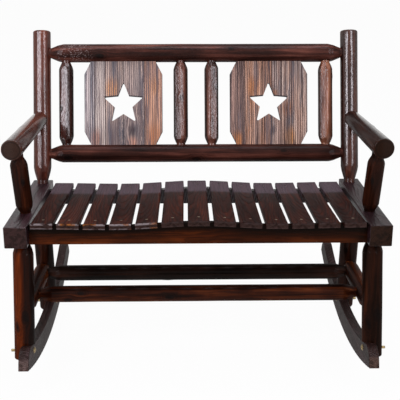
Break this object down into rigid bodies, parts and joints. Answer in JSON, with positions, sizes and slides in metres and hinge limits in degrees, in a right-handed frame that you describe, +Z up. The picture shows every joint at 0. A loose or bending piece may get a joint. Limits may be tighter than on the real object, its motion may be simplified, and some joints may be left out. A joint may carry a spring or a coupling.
{
  "type": "rocking bench",
  "caption": "Two-seat rocking bench of dark stained logs: slatted dished seat, leaning back with star cut-out panels and spindles, log arms, notched legs on curved rockers.",
  "frame": {"origin": "on the floor, under the middle of the bench's box at rest", "axes": "+X along the bench to the right as seen from in front, +Y from the front to the back, +Z up"},
  "size_m": [1.0958, 0.8524, 0.9199],
  "materials": {
    "log_wood": "dark brown stain under gloss lacquer on peeled logs",
    "sawn_wood": "dark brown stain under gloss lacquer on sawn boards",
    "slat_wood": "dark brown stain under satin lacquer, with brushed grain",
    "panel_wood": "scorched and brushed boards, satin",
    "bolt_metal": "yellow plated steel",
    "screw_metal": "dulled plated steel"
  },
  "bodies": {
    "root": {"arm_lag_screws": "screw_metal", "arm_lag_washers": "screw_metal", "arm_left": "log_wood", "arm_right": "log_wood", "arm_support_left": "log_wood", "arm_support_right": "log_wood", "front_apron": "sawn_wood", "front_cross_stretcher": "log_wood", "front_leg_left": "log_wood", "front_leg_right": "log_wood", "lower_back_rail": "log_wood", "rear_cross_stretcher": "log_wood", "rear_leg_left": "log_wood", "rear_leg_right": "log_wood", "rear_post_left": "log_wood", "rear_post_right": "log_wood", "rear_seat_board": "sawn_wood", "rocker_bolt_nuts": "bolt_metal", "rocker_bolt_washers": "bolt_metal", "rocker_bolts": "bolt_metal", "rocker_left": "sawn_wood", "rocker_right": "sawn_wood", "seat_board_screws": "screw_metal", "seat_slat_01": "slat_wood", "seat_slat_02": "slat_wood", "seat_slat_03": "slat_wood", "seat_slat_04": "slat_wood", "seat_slat_05": "slat_wood", "seat_slat_06": "slat_wood", "seat_slat_07": "slat_wood", "seat_slat_08": "slat_wood", "seat_slat_09": "slat_wood", "seat_slat_10": "slat_wood", "seat_slat_11": "slat_wood", "seat_slat_12": "slat_wood", "seat_slat_13": "slat_wood", "seat_slat_screws": "screw_metal", "side_rail_left": "sawn_wood", "side_rail_right": "sawn_wood", "side_stretcher_left": "log_wood", "side_stretcher_right": "log_wood", "spindle_1": "log_wood", "spindle_2": "log_wood", "spindle_3": "log_wood", "spindle_4": "log_wood", "star_panel_left": "panel_wood", "star_panel_right": "panel_wood", "top_back_rail": "log_wood"}
  },
  "joints": []
}
